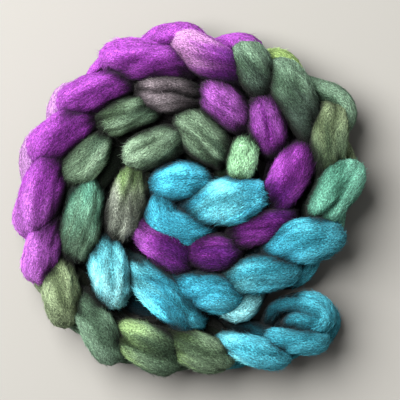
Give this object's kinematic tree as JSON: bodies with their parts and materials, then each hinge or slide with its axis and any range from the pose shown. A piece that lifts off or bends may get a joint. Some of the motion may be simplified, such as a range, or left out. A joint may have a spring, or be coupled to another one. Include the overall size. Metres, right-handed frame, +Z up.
{
  "type": "braided wool roving",
  "caption": "Soft hand-dyed wool roving worked into a crochet chain and coiled flat in a spiral, in turquoise, green and purple.",
  "frame": {"origin": "middle of the hank's outline, on the surface that it lies on", "axes": "+Z up from that surface; +X to the right and +Y to the top of the spiral seen from above, with the chain's outer end by +X -Y"},
  "size_m": [0.2636, 0.2652, 0.0604],
  "materials": {
    "wool": "matte fluffy hand-dyed wool, turquoise, green and purple by stretches"
  },
  "bodies": {
    "root": {"roving_braid": "wool"}
  },
  "joints": []
}
